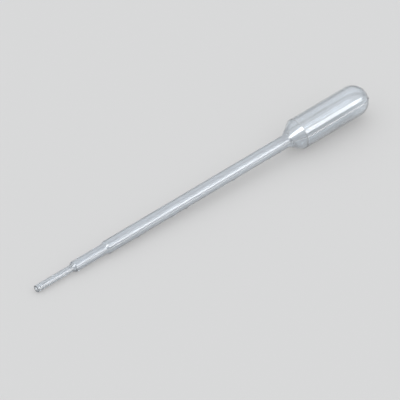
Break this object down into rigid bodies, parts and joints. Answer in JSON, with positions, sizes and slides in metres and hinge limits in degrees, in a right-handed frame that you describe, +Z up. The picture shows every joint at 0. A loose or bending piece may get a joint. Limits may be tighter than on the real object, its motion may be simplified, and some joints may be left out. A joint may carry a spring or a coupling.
{
  "type": "plastic dropper pipette",
  "caption": "One-piece clear plastic transfer pipette with a stepped tip, a graduated stem and a squeeze bulb.",
  "frame": {"origin": "on the table below the middle of the pipette's box, as the pipette lies", "axes": "+X along the pipette from the open tip to the domed bulb, +Z up; the pipette's own axis rises 2.18 degrees towards the bulb"},
  "size_m": [0.1502, 0.0116, 0.0125],
  "materials": {
    "clear_polyethylene": "soft clear plastic, slightly milky, with a smooth moulded gloss"
  },
  "bodies": {
    "root": {"pipette": "clear_polyethylene"}
  },
  "joints": []
}
